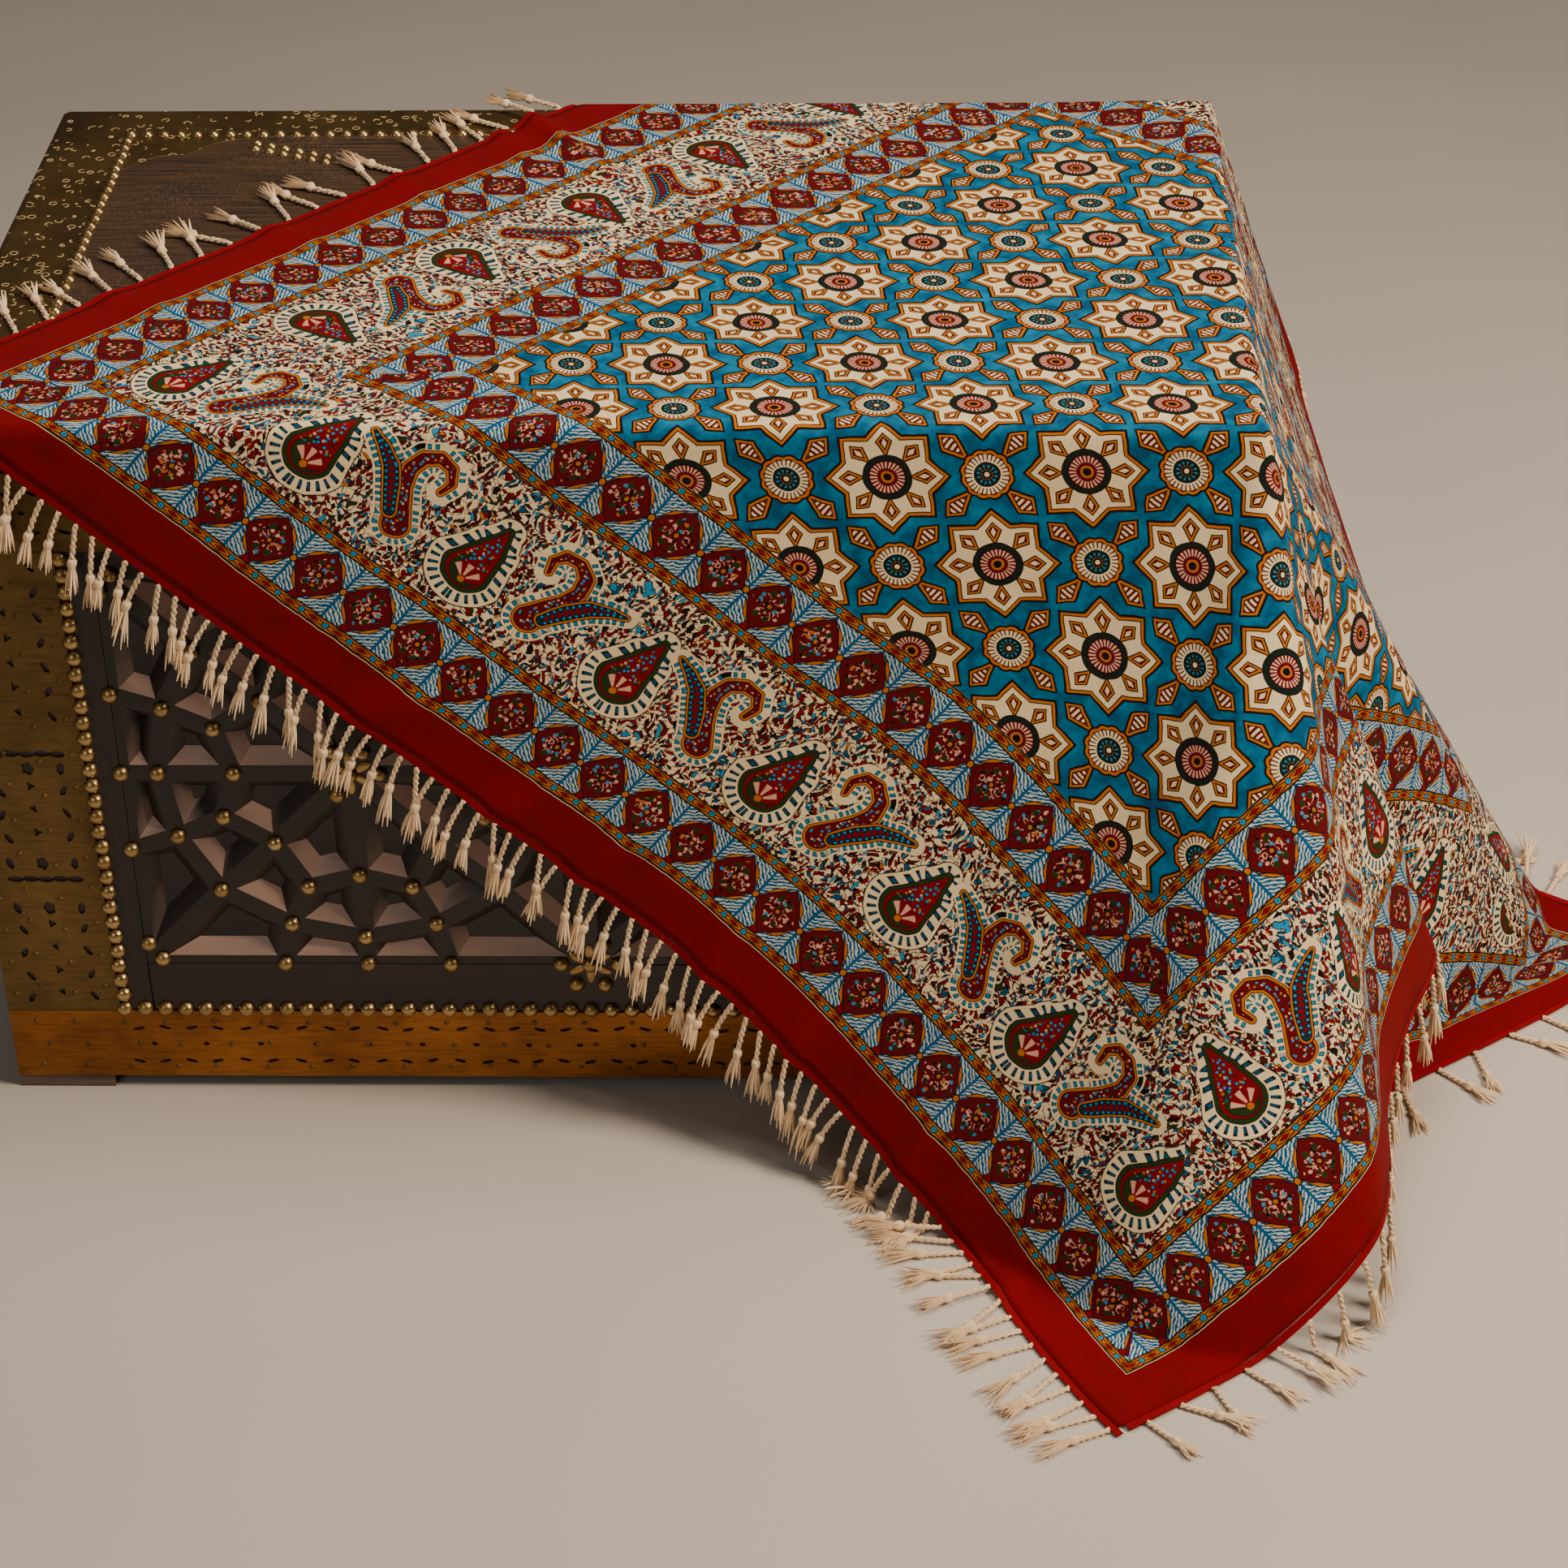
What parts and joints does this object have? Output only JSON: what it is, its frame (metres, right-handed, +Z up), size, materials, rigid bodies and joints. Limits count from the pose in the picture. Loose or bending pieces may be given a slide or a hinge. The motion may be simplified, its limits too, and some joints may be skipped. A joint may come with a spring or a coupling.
{
  "type": "block-printed cotton cloth draped over a wooden chest",
  "caption": "Square kalamkari cotton cloth with a knotted fringe, draped cornerwise over a low dark wooden chest, with its front and right corners in folds down to the floor.",
  "frame": {"origin": "middle of the footprint, on the floor", "axes": "+X along the chest to the right as seen from its front, +Y from its front to its back, +Z up"},
  "size_m": [1.3584, 1.017, 0.5745],
  "materials": {
    "dark_wood": "dark, worn, waxed wood",
    "worn_brass": "worn sheet brass",
    "printed_cotton": "printed and dyed plain-weave cotton",
    "fringe_yarn": "undyed twisted cotton"
  },
  "bodies": {
    "root": {"chest_lid": "dark_wood", "chest_base": "dark_wood", "chest_front": "dark_wood", "chest_back": "dark_wood", "chest_left": "dark_wood", "chest_right": "dark_wood", "foot_front_left": "dark_wood", "foot_front_right": "dark_wood", "foot_back_left": "dark_wood", "foot_back_right": "dark_wood", "band_bottom": "worn_brass", "band_top": "worn_brass", "band_left": "worn_brass", "band_right": "worn_brass", "cloth": "printed_cotton", "fringe_front_1": "fringe_yarn", "fringe_front_2": "fringe_yarn", "fringe_front_3": "fringe_yarn", "fringe_front_4": "fringe_yarn", "fringe_front_5": "fringe_yarn", "fringe_right_1": "fringe_yarn", "fringe_right_2": "fringe_yarn", "fringe_right_3": "fringe_yarn", "fringe_right_4": "fringe_yarn", "fringe_back_1": "fringe_yarn", "fringe_back_2": "fringe_yarn", "fringe_back_3": "fringe_yarn", "fringe_back_4": "fringe_yarn", "fringe_left_1": "fringe_yarn", "fringe_left_2": "fringe_yarn", "fringe_left_3": "fringe_yarn"}
  },
  "joints": []
}
